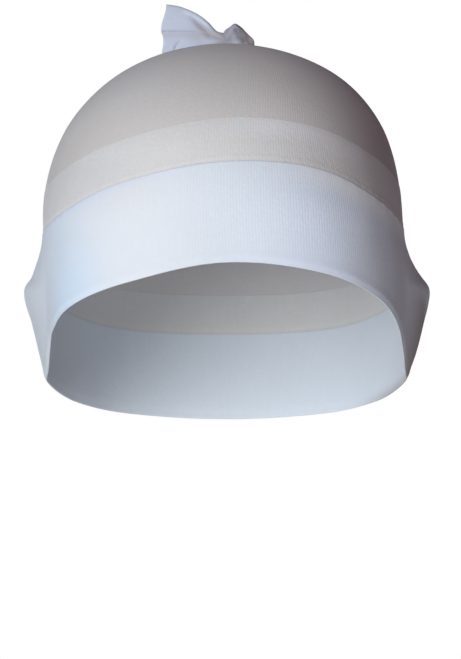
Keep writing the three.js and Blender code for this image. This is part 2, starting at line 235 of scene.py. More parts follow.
# %% The lamps
MIDDLE = np.array([0.0, 0.0, -0.075])
PALE, SKY = (0.965, 0.99, 1.0), (0.25, 0.68, 1.0)
LAMPS = [
    # name, bearing and rise in degrees, metres away, metres wide, watts and colour
    ("key", -25, 5, 2.4, 1.3, 43.5, PALE),
    ("table_glow", 15, -50, 0.62, 0.5, 0.56, PALE),
    ("window", -95, 0, 2.4, 1.2, 3.5, SKY),
    ("behind", -173, 0, 2.4, 0.8, 21.0, PALE),
]


def lamp(name, bearing, angle, away, size, power, colour):
    """A round area light that faces the cap from a bearing and an angle above the level."""
    data = bpy.data.lights.new(name, "AREA")
    data.shape = "DISK"
    data.size = size
    data.energy = power
    data.color = colour
    turn, lift = math.radians(bearing), math.radians(angle)
    out = [math.cos(lift) * math.sin(turn), -math.cos(lift) * math.cos(turn), math.sin(lift)]
    made = linked(name, data)
    made.location = MIDDLE + np.array(out) * away
    made.rotation_euler = (math.pi / 2 - lift, 0, turn)
    made.visible_camera = False
    return made


for row in LAMPS:
    print(row[0], "at", np.round(lamp(*row).location, 2))

# %% A pale floor, below what the picture shows
FLOOR_LEVEL = -0.60
FLOOR_RADIUS = 2.1
FLOOR_SIDES = 96
FLOOR_GREY, FLOOR_PALE = (0.80, 0.80, 0.80, 1), (0.84, 0.84, 0.84, 1)
FLOOR_GLOW = 0.5
turns = np.linspace(0, 2 * math.pi, FLOOR_SIDES, endpoint=False)
floor_rim = np.c_[np.cos(turns), np.sin(turns), 0 * turns] * FLOOR_RADIUS
floor_faces = [(0, i + 1, (i + 1) % FLOOR_SIDES + 1) for i in range(FLOOR_SIDES)]
floor_mesh = bpy.data.meshes.new("floor")
floor_mesh.from_pydata([(0, 0, 0), *floor_rim.tolist()], [], floor_faces)
floor = linked("floor", floor_mesh)
floor.location = (0, 0, FLOOR_LEVEL)

floor_material = bpy.data.materials.new("pale_floor")
board = blank(floor_material)
place = board.node("ShaderNodeTexCoord", output="Object")
tone = blended(clouds(place, 3.0) + 0.5, FLOOR_GREY, FLOOR_PALE)
matt = {"Base Color": tone, "Roughness": 0.8}
glow = {"Emission Color": tone, "Emission Strength": FLOOR_GLOW}
paint = board.node("ShaderNodeBsdfPrincipled", inputs=matt)
lit_paint = board.node("ShaderNodeBsdfPrincipled", inputs={**matt, **glow})
seen = board.node("ShaderNodeLightPath", output="Is Camera Ray")
top_coat = board.node("ShaderNodeMixShader", inputs={0: seen, 1: paint, 2: lit_paint})
board.node("ShaderNodeOutputMaterial", inputs={"Surface": top_coat})
floor_mesh.materials.append(floor_material)
print(f"floor {FLOOR_LEVEL} m, out of the picture")

# %% [markdown]
# ## The form that the cap is stretched to
# Stretched knit has no shape of its own: it takes the one that fills it, with a level oval
# below, a dome above and a bulge on each side. The named sizes of the CAD parts make that form
# again here, as functions that take whole arrays, so that each cloth can be as fine as it needs
# and still lies where its CAD part lies. Some sizes were corrected since, by 3.3 mm at the most,
# to follow the photograph more closely: the knitted edges, the left bulge, and SHOULDER, which
# draws the sides in or out by less than a millimetre. Bearings run from 0 at the front of the cap
# to 90 degrees at its left, +X, and lengths are in millimetres.

# %% Sizes of the form
HALF_WIDTH = 74.2
FRONT_REACH = 107.0
BACK_REACH = 83.0
WIDEST = -74.0
FRONT_ROUNDNESS = 2.15
LOW_FRONT_ROUNDNESS = 2.5
SQUARER_FROM, SQUARE_AT = -52, -80
BACK_ROUNDNESS = 2.05
DOME_ROUNDNESS = 2.13
CENTRE = np.array([0.0, 0.0, WIDEST])


def table(names, rows):
    """A small table as columns by name."""
    return dict(zip(names.split(), np.array(rows, float).T))


TAPER = table("z side front back", [
    (-170, 0.88, 0.97, 0.72),
    (-150, 0.92, 0.985, 0.83),
    (-130, 0.955, 0.995, 0.93),
    (-110, 0.98, 1.0, 0.985),
    (-90, 0.995, 1.0, 1.0),
    (WIDEST, 1.0, 1.0, 1.0),
])
SHOULDER = table("z share", [
    (-92, 1.0), (-86, 0.997), (-79, 0.9925), (-70, 0.9925), (-60, 0.997), (-52, 1.0),
    (-44, 1.003), (-36, 1.008), (-24, 1.008), (-17, 1.0055), (-13, 0.998), (-10, 0.984),
    (-7.3, 0.964), (-4.9, 0.933), (-3.3, 0.88), (-1.75, 0.80), (0, 0.72),
])
TOP_SHARE = 0.984
TOP_POWER = 0.5
print(f"form {2 * HALF_WIDTH:.0f} mm wide and {FRONT_REACH + BACK_REACH:.0f} mm long")

# %% The bulges at the sides: how far they stand out, their crest and their reach ahead of it
BULGE = table("z left right crest ahead", [
    (-170, 3.0, 3.0, -6, 18),
    (-152, 4.1, 4.3, -5, 18),
    (-138, 5.1, 5.1, -3, 20),
    (-128, 7.6, 6.5, 0, 26),
    (-114.5, 10.2, 8.9, 4, 36),
    (-107.5, 11.6, 10.7, 5, 40),
    (-101.5, 11.6, 10.5, 4, 42),
    (-97.4, 8.3, 7.1, 2, 44),
    (-94, 5.7, 5.4, 1, 46),
    (-90.6, 3.7, 3.7, 0, 46),
    (-87.3, 2.0, 2.1, -2, 46),
    (-83.9, 0.7, 0.8, -3, 46),
    (-80, 0.1, 0.1, -5, 46),
    (WIDEST, 0, 0, -6, 46),
])
BULGE_REAR_REACH = 36.0
BULGE_CREST_ROUNDING = 0.1
BULGE_FOOT_ROUNDING = 0.12
print("widest bulge", BULGE["left"].max(), "mm")

# %% The three knitted edges: heights by bearing
EDGES = table("bearing hem_top cuff_top low_edge", [
    (-220, -99.4, -117.4, -155.4),
    (-180, -102.5, -120.5, -158.5),
    (-140, -99.6, -117.6, -155.5),
    (-112, -91.0, -109.0, -149.5),
    (-94, -76.0, -93.0, -142.5),
    (-80, -64.8, -80.8, -135.4),
    (-66, -60.8, -79.2, -122.6),
    (-54, -58.2, -77.4, -117.4),
    (-40, -52.9, -73.1, -109.9),
    (-20, -45.1, -62.9, -100.5),
    (0, -39.1, -56.1, -93.3),
    (20, -41.0, -57.9, -96.9),
    (40, -49.1, -68.5, -107.9),
    (54, -54.7, -74.6, -116.9),
    (66, -58.3, -76.8, -123.1),
    (80, -61.6, -78.2, -134.9),
    (94, -72.5, -89.5, -142.0),
    (112, -89.5, -107.5, -149.0),
    (140, -99.4, -117.4, -155.4),
    (180, -102.5, -120.5, -158.5),
    (220, -99.6, -117.6, -155.5),
])


def eased(share):
    """A share from 0 to 1 that starts and ends softly."""
    return share * share * (3 - 2 * share)


def read(rows, column, at):
    """One column of a table at places in its first column, along a smooth curve."""
    x, y = next(iter(rows.values())), rows[column]
    at = np.clip(at, x[0], x[-1])
    i = np.clip(np.searchsorted(x, at, side="right") - 1, 0, len(x) - 2)

    def slope(k):
        before = np.maximum(k - 1, 0)
        after = np.minimum(k + 1, len(x) - 1)
        return (y[after] - y[before]) / (x[after] - x[before])

    span = x[i + 1] - x[i]
    t = (at - x[i]) / span
    flow = eased(t)
    bend = slope(i) * t * (1 - t) ** 2 - slope(i + 1) * t * t * (1 - t)
    return y[i] * (1 - flow) + y[i + 1] * flow + bend * span


def edge(column, bearing):
    """Height of a knitted edge at bearings in radians."""
    return read(EDGES, column, np.degrees(bearing))


print(f"cuff is {edge('cuff_top', 0) - edge('low_edge', 0):.1f} mm high at the front")


# %% The form as functions
def front_roundness(z):
    """The front is squarer in plan at the cuff than at the dome, and the change is gradual."""
    share = eased(np.clip((SQUARER_FROM - z) / (SQUARER_FROM - SQUARE_AT), 0, 1))
    return FRONT_ROUNDNESS + (LOW_FRONT_ROUNDNESS - FRONT_ROUNDNESS) * share


def plan_reach(bearing, z):
    """How far the form reaches out from its midline, before the dome draws it in."""
    level = np.minimum(z, WIDEST)
    ahead = np.cos(bearing) > 0
    share = read(SHOULDER, "share", z)
    side = HALF_WIDTH * read(TAPER, "side", level) * share
    narrowed = np.minimum(1, share / TOP_SHARE) ** TOP_POWER
    front = FRONT_REACH * read(TAPER, "front", level) * narrowed
    back = BACK_REACH * read(TAPER, "back", level)
    power = np.where(ahead, front_roundness(z), BACK_ROUNDNESS)
    across = np.abs(np.sin(bearing) / side) ** power
    along = np.abs(np.cos(bearing) / np.where(ahead, front, back)) ** power
    return (across + along) ** (-1 / power)


MIDLINE = 0.6
SWAYS = [(-64, 30, -1.6), (-15, 11, 0.4)]


def midline(z):
    """How far the form's middle lies to its left: least at the sides' level, most near the top."""
    off = MIDLINE
    for height, reach, sway in SWAYS:
        off = off + sway * np.exp(-(((z - height) / reach) ** 2))
    return off


def bulge(bearing, z, reach):
    """How far the cloth stands off at a side: a tent with a rounded crest."""
    height = np.where(bearing > 0, read(BULGE, "left", z), read(BULGE, "right", z))
    off = -reach * np.cos(bearing) - read(BULGE, "crest", z)
    foot = np.where(off < 0, read(BULGE, "ahead", z), BULGE_REAR_REACH)
    slope = 1 + BULGE_CREST_ROUNDING - np.hypot(np.abs(off) / foot, BULGE_CREST_ROUNDING)
    tent = (slope + np.hypot(slope, BULGE_FOOT_ROUNDING)) / 2
    return np.where(z >= WIDEST, 0, height * tent * np.abs(np.sin(bearing)))


def side_point(bearing, z):
    """The inside of the cap by bearing and height."""
    reach = plan_reach(bearing, z)
    up = np.maximum(z - WIDEST, 0) / -WIDEST
    out = reach * (1 - up**DOME_ROUNDNESS) ** (1 / DOME_ROUNDNESS) + bulge(bearing, z, reach)
    return np.stack([midline(z) + out * np.sin(bearing), -out * np.cos(bearing), z], -1)


print("front of the cuff's top edge:", np.round(side_point(np.array(0.0), edge("cuff_top", 0)), 1))


# %% Cast lines out from the form's middle
def beyond(points):
    """Below 0 inside the cap's inner side, above 0 outside it."""
    x, y, z = np.moveaxis(points, -1, 0)
    aside = x - midline(z)
    bearing = np.arctan2(aside, -y)
    reach = plan_reach(bearing, z)
    up = np.maximum(z - WIDEST, 0) / -WIDEST
    out = np.hypot(aside, y) / (reach + bulge(bearing, z, reach))
    return out**DOME_ROUNDNESS + up**DOME_ROUNDNESS - 1


CAST_FROM, CAST_TO, HALVINGS = 20.0, 160.0, 30


def cast_out(directions):
    """Where lines from the middle of the form meet the inside of the cap."""
    short = np.full(directions.shape[:-1], CAST_FROM)
    long = np.full(directions.shape[:-1], CAST_TO)
    for _ in range(HALVINGS):
        middle = (short + long) / 2
        outside = beyond(CENTRE + directions * middle[..., None]) > 0
        long = np.where(outside, middle, long)
        short = np.where(outside, short, middle)
    return CENTRE + directions * short[..., None]


KNOT_PLACE = (6.0, 28.0)
levels = np.linspace(-20, 0, 4001)
over = np.stack([levels * 0 + KNOT_PLACE[0], levels * 0 + KNOT_PLACE[1], levels], -1)
KNOT_SEAT = np.array([*KNOT_PLACE, levels[np.argmax(beyond(over) > 0)]])
KNOT_LINE = KNOT_SEAT - CENTRE
KNOT_AXIS = KNOT_LINE / np.linalg.norm(KNOT_LINE)
print("the knot stands on", np.round(KNOT_SEAT, 2), "along", np.round(KNOT_AXIS, 3))

# %% [markdown]
# ## From rows of points to cloth
# Each cloth is a thin closed shell made of rings of points: an outer side, an inner side and the
# rims between them. Writing the rings in mesh code gives every point a place in the knit as
# well: its wale, which is the upright column of stitches that it lies in, and its height in mm.
# They are kept as a UV map, so that the knit follows the cloth.

# %% Skin rings with quads
WALES = 600


def skin(name, rings, knit):
    """A mesh over a loop of rings in mm; knit has one column more, to close round the back."""
    rows, around = rings.shape[:2]
    r = np.arange(rows)[:, None]
    k = np.arange(around)[None, :]
    r2, k2 = (r + 1) % rows, (k + 1) % around
    quads = np.stack([r * around + k, r * around + k2, r2 * around + k2, r2 * around + k], -1)
    corners = np.stack([knit[r, k], knit[r, k + 1], knit[r2, k + 1], knit[r2, k]], 2)
    mesh = bpy.data.meshes.new(name)
    mesh.from_pydata((rings.reshape(-1, 3) * MM).tolist(), [], quads.reshape(-1, 4).tolist())
    mesh.uv_layers.new(name="knit").data.foreach_set("uv", corners.reshape(-1).astype(np.float32))
    mesh.shade_smooth()
    print(f"{name}: {len(mesh.polygons)} faces")
    return linked(name, mesh)


def keep_number(piece, name, number_at):
    """Keeps a number for each point of a mesh, worked out from its place in mm, for a material."""
    places = np.empty(len(piece.data.vertices) * 3)
    piece.data.vertices.foreach_get("co", places)
    numbers = number_at(*(places.reshape(-1, 3).T / MM))
    piece.data.attributes.new(name, "FLOAT", "POINT").data.foreach_set("value", numbers)
    return numbers


def kept(base, name):
    """A wire with the number that keep_number has stored."""
    return base.node("ShaderNodeAttribute", {"attribute_name": name}, output="Fac")


def unit(vectors):
    """Vectors at length 1."""
    return vectors / np.linalg.norm(vectors, axis=-1, keepdims=True)


def normals_of(grid):
    """Unit normals of a ring grid whose columns close and whose rows do not."""
    along = np.roll(grid, -1, 1) - np.roll(grid, 1, 1)
    return unit(np.cross(along, np.gradient(grid, axis=0)))


def ring_bearings(around):
    """Even bearings all the way round from the back."""
    return np.linspace(-math.pi, math.pi, around, endpoint=False)


def even_turns(around):
    """Even angles all the way round from 0."""
    return np.arange(around) * 2 * math.pi / around


print("wales round the cap:", WALES)

# %% [markdown]
# ## Knit as a material
# Fine jersey is columns of V-shaped stitches. Modelling over a hundred thousand stitches would be
# absurd at this size, so the columns and the V shapes are worked out from the knit's coordinates:
# a rounded rib for each wale, and two slanting legs that meet in its middle. Real machine knit is
# never even, so some wales are a little darker all the way up, and the cloth has a fine grain
# and soft clouds. The grain is in the relief too, since it shows most where the light grazes.
# The streaks use a ring-shaped place, because a flat one would show a seam where it closes.

# %% One recipe for all the cloths
CLOTH_ROUGHNESS = 0.88
STREAK_SCALE, PATCH_SCALE, GRAIN_SCALE = 0.55, 70.0, 680.0
STREAK_SLOWNESS = 0.045


def finish_cloth(board, bump, cloth):
    """Adds the bump, the shader and the output, the first two by what goes into their sockets."""
    normal = board.node("ShaderNodeBump", inputs=bump)
    shader = board.node("ShaderNodeBsdfPrincipled", inputs={**cloth, "Normal": normal})
    board.node("ShaderNodeOutputMaterial", inputs={"Surface": shader})


def knit_material(name, light, dark, *, course, relief, groove, streak, cloud, grain, grit, sheen,
                  tint, wales=WALES):
    """Knitted cloth from two colours, a course height in mm and the strength of its features."""
    material = bpy.data.materials.new(name)
    board = blank(material)
    wale, height, _ = parts(board.node("ShaderNodeUVMap", {"uv_map": "knit"}))

    across = abs(wale.math("FRACT") - 0.5) * 2
    leg = (height / course + across * 0.9).math("FRACT")
    stitch = 1 - abs(leg * 2 - 1) ** 2.0
    rib = 1 - across**2.2

    turn = wale * (2 * math.pi / wales)
    radius = wales / (2 * math.pi)
    ring = board.node("ShaderNodeCombineXYZ", inputs={
        0: turn.math("COSINE") * radius,
        1: turn.math("SINE") * radius,
        2: height * STREAK_SLOWNESS,
    })
    streaks = clouds(ring, STREAK_SCALE, 1.0)
    spread = board.node("ShaderNodeTexCoord", output="Object")
    patches = clouds(spread, PATCH_SCALE, 3.0)
    grains = clouds(spread, GRAIN_SCALE, 2.5)

    shown = patches * 2.2 + 1
    shade = ((1 - rib) * groove - stitch * groove * 0.35) * shown + streaks * streak
    shade = shade + patches * cloud + grains * grain
    relief = (rib * 0.7 + stitch * rib * 0.3) * relief + grains * grit
    finish_cloth(board, {"Strength": 0.8, "Distance": MM, "Height": relief}, {
        "Base Color": tint(wale, height, blended(shade + 0.5, (*light, 1), (*dark, 1))),
        "Roughness": CLOTH_ROUGHNESS + patches * 0.08,
        "Sheen Weight": sheen,
        "Sheen Roughness": 0.45,
        "Specular IOR Level": 0.25,
    })
    print(f"{name}: {len(material.node_tree.nodes)} nodes")
    return material

# %% [markdown]
# ## The sheer crown
# The crown is one layer of thin stocking knit, stretched over the dome and gathered at the knot.
# It could be a dome with a texture, but gathers that are only painted look flat from above. So
# the columns of points run in lines towards the knot, which is also how the wales run, and the
# gathers are pressed in along them: a few broad pleats and many short creases, no two alike.

# %% Gathers round the knot
NECK_RADIUS = 5.2
NECK_LIFT = 4.6
NECK_FADE = 4.2
PLEATS = 11
PLEAT_DEPTH = 0.7
PLEAT_FADE = 13.0
CREASES = 34
gather_rng = np.random.default_rng(11)
crease_turn = (np.arange(CREASES) + gather_rng.uniform(-0.35, 0.35, CREASES)) * 2 * math.pi / CREASES
crease_reach = gather_rng.uniform(7, 34, CREASES)
crease_depth = gather_rng.uniform(0.25, 0.75, CREASES)
crease_width = gather_rng.uniform(0.8, 1.8, CREASES)


def gathers(around, past_neck):
    """Height in mm of the pleats and creases at a turn round the knot and a distance from it."""
    past = np.maximum(past_neck, 0)
    height = PLEAT_DEPTH * np.exp(-past / PLEAT_FADE) * np.cos(PLEATS * around)
    for turn, reach, depth, width in zip(crease_turn, crease_reach, crease_depth, crease_width):
        off = (around - turn + math.pi) % (2 * math.pi) - math.pi
        aside = np.abs(off) * (past + NECK_RADIUS) / (width * (1 + past / 40))
        height -= depth * np.exp(-(aside**2) - (past / reach) ** 2)
    return height


print(f"{PLEATS} pleats and {CREASES} creases, the longest {crease_reach.max():.0f} mm")


# %% Lines over the dome, from the hem to the knot
def crown_course(bearing, left, foot):
    """Inner points, turn round the knot and distance past the neck, with left of each line left."""
    start = side_point(bearing, foot) - CENTRE
    full = np.arccos(start @ KNOT_AXIS / np.linalg.norm(start, axis=-1))
    axis = unit(np.cross(KNOT_LINE, start))
    angle = full * left
    past = angle * np.linalg.norm(KNOT_LINE) - NECK_RADIUS
    aside = np.cross([1.0, 0.0, 0.0], KNOT_AXIS)
    around = np.arctan2(axis @ (aside / np.linalg.norm(aside)), axis[..., 0])
    leaning = np.cross(axis, KNOT_AXIS) * np.sin(angle)[..., None]
    point = cast_out(KNOT_AXIS * np.cos(angle)[..., None] + leaning)
    lift = NECK_LIFT * np.exp(-np.maximum(past, 0) / NECK_FADE)
    return point + KNOT_AXIS * lift[..., None], around, past


CROWN_COLUMNS = 320
CROWN_ROWS = 98
CROWN_TUCK = 1.4
crown_share = np.r_[0, 0.0015, np.linspace(0.006, 0.985, CROWN_ROWS - 2)][:, None]
crown_bearing = np.tile(ring_bearings(CROWN_COLUMNS), (CROWN_ROWS, 1))
crown_left = np.tile((1 - crown_share) ** 1.5, (1, CROWN_COLUMNS))
crown_foot = edge("hem_top", crown_bearing) - CROWN_TUCK
smooth_crown, knot_turn, past_neck = crown_course(crown_bearing, crown_left, crown_foot)
print("crown rings", smooth_crown.shape, "up to", round(float(smooth_crown[..., 2].max()), 2))


# %% The crown's shell
def pushed(points, height):
    """Points moved out from the form's middle."""
    return points + unit(points - CENTRE) * height[..., None]


def knit_of(rings):
    """Wale and height in mm for rings that run upwards."""
    rows, around = rings.shape[:2]
    wale = np.tile(np.linspace(0, WALES, around + 1), (rows, 1))
    closed = np.concatenate([rings, rings[:, :1]], 1)
    steps = np.linalg.norm(np.diff(closed, axis=0), axis=-1)
    height = np.concatenate([np.zeros((1, around + 1)), np.cumsum(steps, 0)])
    return np.stack([wale, height], -1)


CROWN_INSIDE = 0.12
CROWN_OUTSIDE = 0.98
crown_normal = normals_of(smooth_crown)
crown_relief = gathers(knot_turn, past_neck)
crown_inner = pushed(smooth_crown + crown_normal * CROWN_INSIDE, crown_relief)
crown_outer = pushed(smooth_crown + crown_normal * CROWN_OUTSIDE, crown_relief)
crown_knit = knit_of(smooth_crown)
crown = skin(
    "sheer_crown",
    np.concatenate([crown_outer[::-1], crown_inner]),
    np.concatenate([crown_knit[::-1], crown_knit]),
)

# %% The crown's material
FOOT_WARMTH = (0.70, 0.66, 0.635, 1)
TOP_COOLNESS = (0.64, 0.665, 0.69, 1)
# Painted shade: a darker, warmer tint low on the crown's lit side (-X).
LIT_SIDE_PAINTED_SHADE = (0.59, 0.53, 0.47, 1)
# Painted light: a paler tint low on the crown, just +X of the front.
FRONT_PAINTED_LIGHT = (0.86, 0.84, 0.83, 1)
# Painted shade at the form's front corner on the shaded side (+X), on the crown and the hem.
CORNER_SHADE = (0.31, 0.25, 0.235, 1)


def warm_foot(wale, height, base):
    """Warmer near the hem and cooler at the top; above the hem, painted shade at two places round the
    form and painted light at a third.
    """
    low = fall(height, 3, 28)
    return tinted(
        base,
        (0.35, blended(rise(height, 8, 70), FOOT_WARMTH, TOP_COOLNESS)),
        (near(wale, 242, 38) * low * 0.28, LIT_SIDE_PAINTED_SHADE),
        (near(wale, 324, 18) * low * 0.25, FRONT_PAINTED_LIGHT),
        (near(wale, 374, 28) * low * 0.41, CORNER_SHADE),
    )


crown.data.materials.append(knit_material(
    "sheer_knit", (0.690, 0.700, 0.695), (0.632, 0.640, 0.636), tint=warm_foot,
    course=0.75, relief=0.04, groove=0.16, streak=0.5, cloud=0.6, grain=1.3, grit=0.12, sheen=0.12,
))
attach(crown, "root")
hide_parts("crown")
print("crown dressed")

# %% [markdown]
# ## Bands with rounded rims
# The hem zone and the cuff are bands between two knitted edges. Each is a closed shell: the outer
# side may carry a relief, such as puckers along a seam, and the rims are half rounds, since
# cloth that is folded or sewn never ends in a sharp corner.

# %% Make a band
RIM_RINGS = 5


def band(name, low, top, wall, rows, columns, relief, tuck, rim):
    """A band, with rings up its outer side, over the top rim, down its inner side, round below."""
    bearing = np.tile(ring_bearings(columns), (rows, 1))
    share = np.linspace(0, 1, rows)[:, None]
    z = low(bearing) + (top(bearing) - low(bearing)) * share
    inner = side_point(bearing, z)
    normal = normals_of(inner)
    outer = inner + normal * (wall + relief(bearing, z))[..., None]
    inner = inner + normal * tuck(bearing, z)[..., None]
    over_top, over_low = [], []
    for turn in np.linspace(0, math.pi, RIM_RINGS + 2)[1:-1]:
        rim_out = (1 + math.cos(turn)) / 2
        lift = np.array([0, 0, rim * wall * math.sin(turn)])
        over_top.append(inner[-1] * (1 - rim_out) + outer[-1] * rim_out + lift)
        over_low.append(inner[0] * rim_out + outer[0] * (1 - rim_out) - lift)
    knit = knit_of(inner)
    top_knit, low_knit = (np.repeat(row[None], RIM_RINGS, 0) for row in (knit[-1], knit[0]))
    rings = np.concatenate([outer, over_top, inner[::-1], over_low])
    return skin(name, rings, np.concatenate([knit, top_knit, knit[::-1], low_knit]))


def place_on(bearing, z, out):
    """Places standing the given distance out from the inside of the cap."""
    step = 1e-3
    along = side_point(bearing + step, z) - side_point(bearing - step, z)
    up = side_point(bearing, z + step) - side_point(bearing, z - step)
    return side_point(bearing, z) + unit(np.cross(along, up)) * np.asarray(out)[..., None]


print("band maker ready")

# %% [markdown]
# ## The hem zone and its seam allowance
# Above the cuff the stocking is knitted denser, so it looks lighter than the crown. Where the
# cuff is sewn on, the turned-in allowance makes the lowest 3 mm a little thicker and paler, and
# the stitches draw it into small pale bumps. A separate strip would need edges that the real
# cloth does not show, so the band itself swells there, and its material turns paler by the
# height above the seam. At its top the band thins out almost to the crown's own thickness.

# %% The hem band
HEM_WALL = 1.15
ALLOWANCE = 3.0
ALLOWANCE_SWELL = 0.13
HEM_THINNING = 0.07
HEM_UNDER_CUFF, HEM_UNDER_CROWN = 1.2, 0.3
GIRTH = 560
PUCKER_SHIFTS = (-17, -9, -4, 3, 8, 16)
pucker_rng = np.random.default_rng(23)
pucker_phase = pucker_rng.uniform(0, 2 * math.pi, len(PUCKER_SHIFTS))


def puckers(bearing, every):
    """Uneven small waves round the cap, from -1 to 1, about so many mm apart."""
    count = round(GIRTH / every)
    waves = sum(
        np.cos((count + shift) * bearing + phase)
        for shift, phase in zip(PUCKER_SHIFTS, pucker_phase)
    )
    return waves / 4


def hem_relief(bearing, z):
    """The swelling over the turned-in allowance, drawn in between its stitches."""
    above = z - edge("cuff_top", bearing)
    on_it = eased(np.clip((ALLOWANCE - above) / 1.8, 0, 1))
    swell = ALLOWANCE_SWELL * on_it * (1 + 0.4 * puckers(bearing, 5))
    below_top = edge("hem_top", bearing) - z
    thinning = HEM_THINNING * np.exp(-((below_top / 1.6) ** 2))
    return swell + 0.05 * puckers(bearing, 23) - thinning


hem = band(
    "hem_zone",
    low=lambda b: edge("cuff_top", b) - HEM_UNDER_CUFF,
    top=lambda b: edge("hem_top", b) - HEM_UNDER_CROWN,
    wall=HEM_WALL,
    rows=42,
    columns=400,
    relief=hem_relief,
    tuck=lambda b, z: 0.02 + 0 * z,
    rim=0.25,
)

# %% The hem's material
SEAM_PALE = (0.80, 0.79, 0.79, 1)
# Painted shadow along the hem just above the cuff's edge.
SEAM_SHADE = (0.55, 0.53, 0.53, 1)
# Painted light on the upper hem, just +X of the front.
HEM_PAINTED_LIGHT = (0.86, 0.87, 0.90, 1)
SPECK = (0.60, 0.78, 0.93, 1)
SPECK_WALE, SPECK_HEIGHT = 306.0, 15.6


def hem_tints(wale, height, base):
    """Pale bumps over the allowance, painted shade along the seam and at a corner, a patch of painted
    light, a speck of lint.
    """
    on_it = fall(height, 2.4, ALLOWANCE + 2.0)
    bumps = (wale * math.pi + (wale * 0.37).math("SINE") * 0.9).math("SINE") * 0.5 + 0.5
    uneven = (wale * 0.61).math("SINE") * (wale * 0.23).math("SINE") * 0.5 + 0.6
    return tinted(
        base,
        (on_it * (bumps * uneven * 0.4 + 0.16), SEAM_PALE),
        (fall(height, 1.2, 2.3) * 0.28, SEAM_SHADE),
        (near(wale, 368, 13) * 0.16, CORNER_SHADE),
        (near(wale, 325, 21) * rise(height, 8, 17) * 0.75, HEM_PAINTED_LIGHT),
        (near(wale, SPECK_WALE, 0.85) * near(height, SPECK_HEIGHT, 1.35) * 0.7, SPECK),
    )


hem.data.materials.append(knit_material(
    "hem_knit", (0.744, 0.748, 0.742), (0.685, 0.688, 0.682), tint=hem_tints,
    course=0.85, relief=0.035, groove=0.13, streak=0.42, cloud=0.45, grain=1.1, grit=0.12, sheen=0.18,
))
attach(hem, "root")
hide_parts("hem_band")
print("hem dressed")

# %% [markdown]
# ## The cuff
# The cuff is a strip of thicker white jersey, folded double at the bottom and sewn on at the
# top. It is the brightest part of the cap. The seam draws small puckers into its top edge, and
# the cloth is slightly fuller along the fold, so the band has a relief for both.

# %% The cuff band
CUFF_WALL = 1.55
ROOM_FOR_FOLD, ROOM_FOR_RIM = 0.1, 0.4


def cuff_relief(bearing, z):
    """Puckers under the seam, fullness above the fold, a flat-pressed edge and broad waves."""
    below_seam = edge("cuff_top", bearing) - z
    above_fold = z - edge("low_edge", bearing)
    pucker = 0.10 * np.exp(-below_seam / 2.2) * puckers(bearing, 7)
    fold = 0.14 * np.exp(-(((above_fold - 2.2) / 2.0) ** 2))
    pressed_edge = -0.35 * np.exp(-((above_fold / 1.2) ** 2))
    waves = 0.09 * puckers(bearing, 31) * np.sin(below_seam / 9)
    return pucker + fold + pressed_edge + waves


def cuff_tuck(bearing, z):
    """The inner side is drawn out towards the fold, which leaves a thin rim."""
    return 0.55 * np.exp(-(((z - edge("low_edge", bearing)) / 3.0) ** 2))


cuff = band(
    "folded_cuff",
    low=lambda b: edge("low_edge", b) + ROOM_FOR_FOLD,
    top=lambda b: edge("cuff_top", b) - ROOM_FOR_RIM,
    wall=CUFF_WALL,
    rows=60,
    columns=420,
    relief=cuff_relief,
    tuck=cuff_tuck,
    rim=0.27,
)

# %% The cuff's material
# Painted light on the shaded side (+X): under the seam and on its bulge.
SHADED_SIDE_PAINTED_LIGHT = (0.93, 0.99, 1.0, 1)
# Painted shade: a duller, less blue patch where the light falls brightest, -X of the front.
LIT_PATCH_SHADE = (0.762, 0.775, 0.795, 1)
# Painted bluish light along the cuff's top edge on the lit side (-X).
SEAM_PAINTED_BLUE_LIGHT = (0.675, 0.755, 0.925, 1)
# Painted bluish light low on the cuff, near the fold, on the lit side (-X).
LOW_PAINTED_BLUE_LIGHT = (0.685, 0.825, 0.965, 1)
# Painted shade low on the bulge of the lit side (-X).
LIT_SIDE_BULGE_PAINTED_SHADE = (0.68, 0.735, 0.78, 1)
# Painted light, lighter and bluer, on the cuff +X of the front, where it turns into shade.
SHADED_FRONT_PAINTED_LIGHT = (0.745, 0.825, 0.99, 1)
# Painted shade on the outer side of the shaded side's bulge (+X).
BULGE_SHADE = (0.37, 0.345, 0.33, 1)
SIDE_SHARPNESS = 0.03


def below_seam_at(x, y, z):
    """How many mm places lie below the seam."""
    return edge("cuff_top", np.arctan2(x - midline(z), -y)) - z


def outside_at(x, y, z):
    """1 on the cuff's outer side and 0 on its inner side."""
    return np.clip(beyond(np.stack([x, y, z], -1)) / SIDE_SHARPNESS, 0, 1)


keep_number(cuff, "below_seam", below_seam_at)
keep_number(cuff, "outside", outside_at)


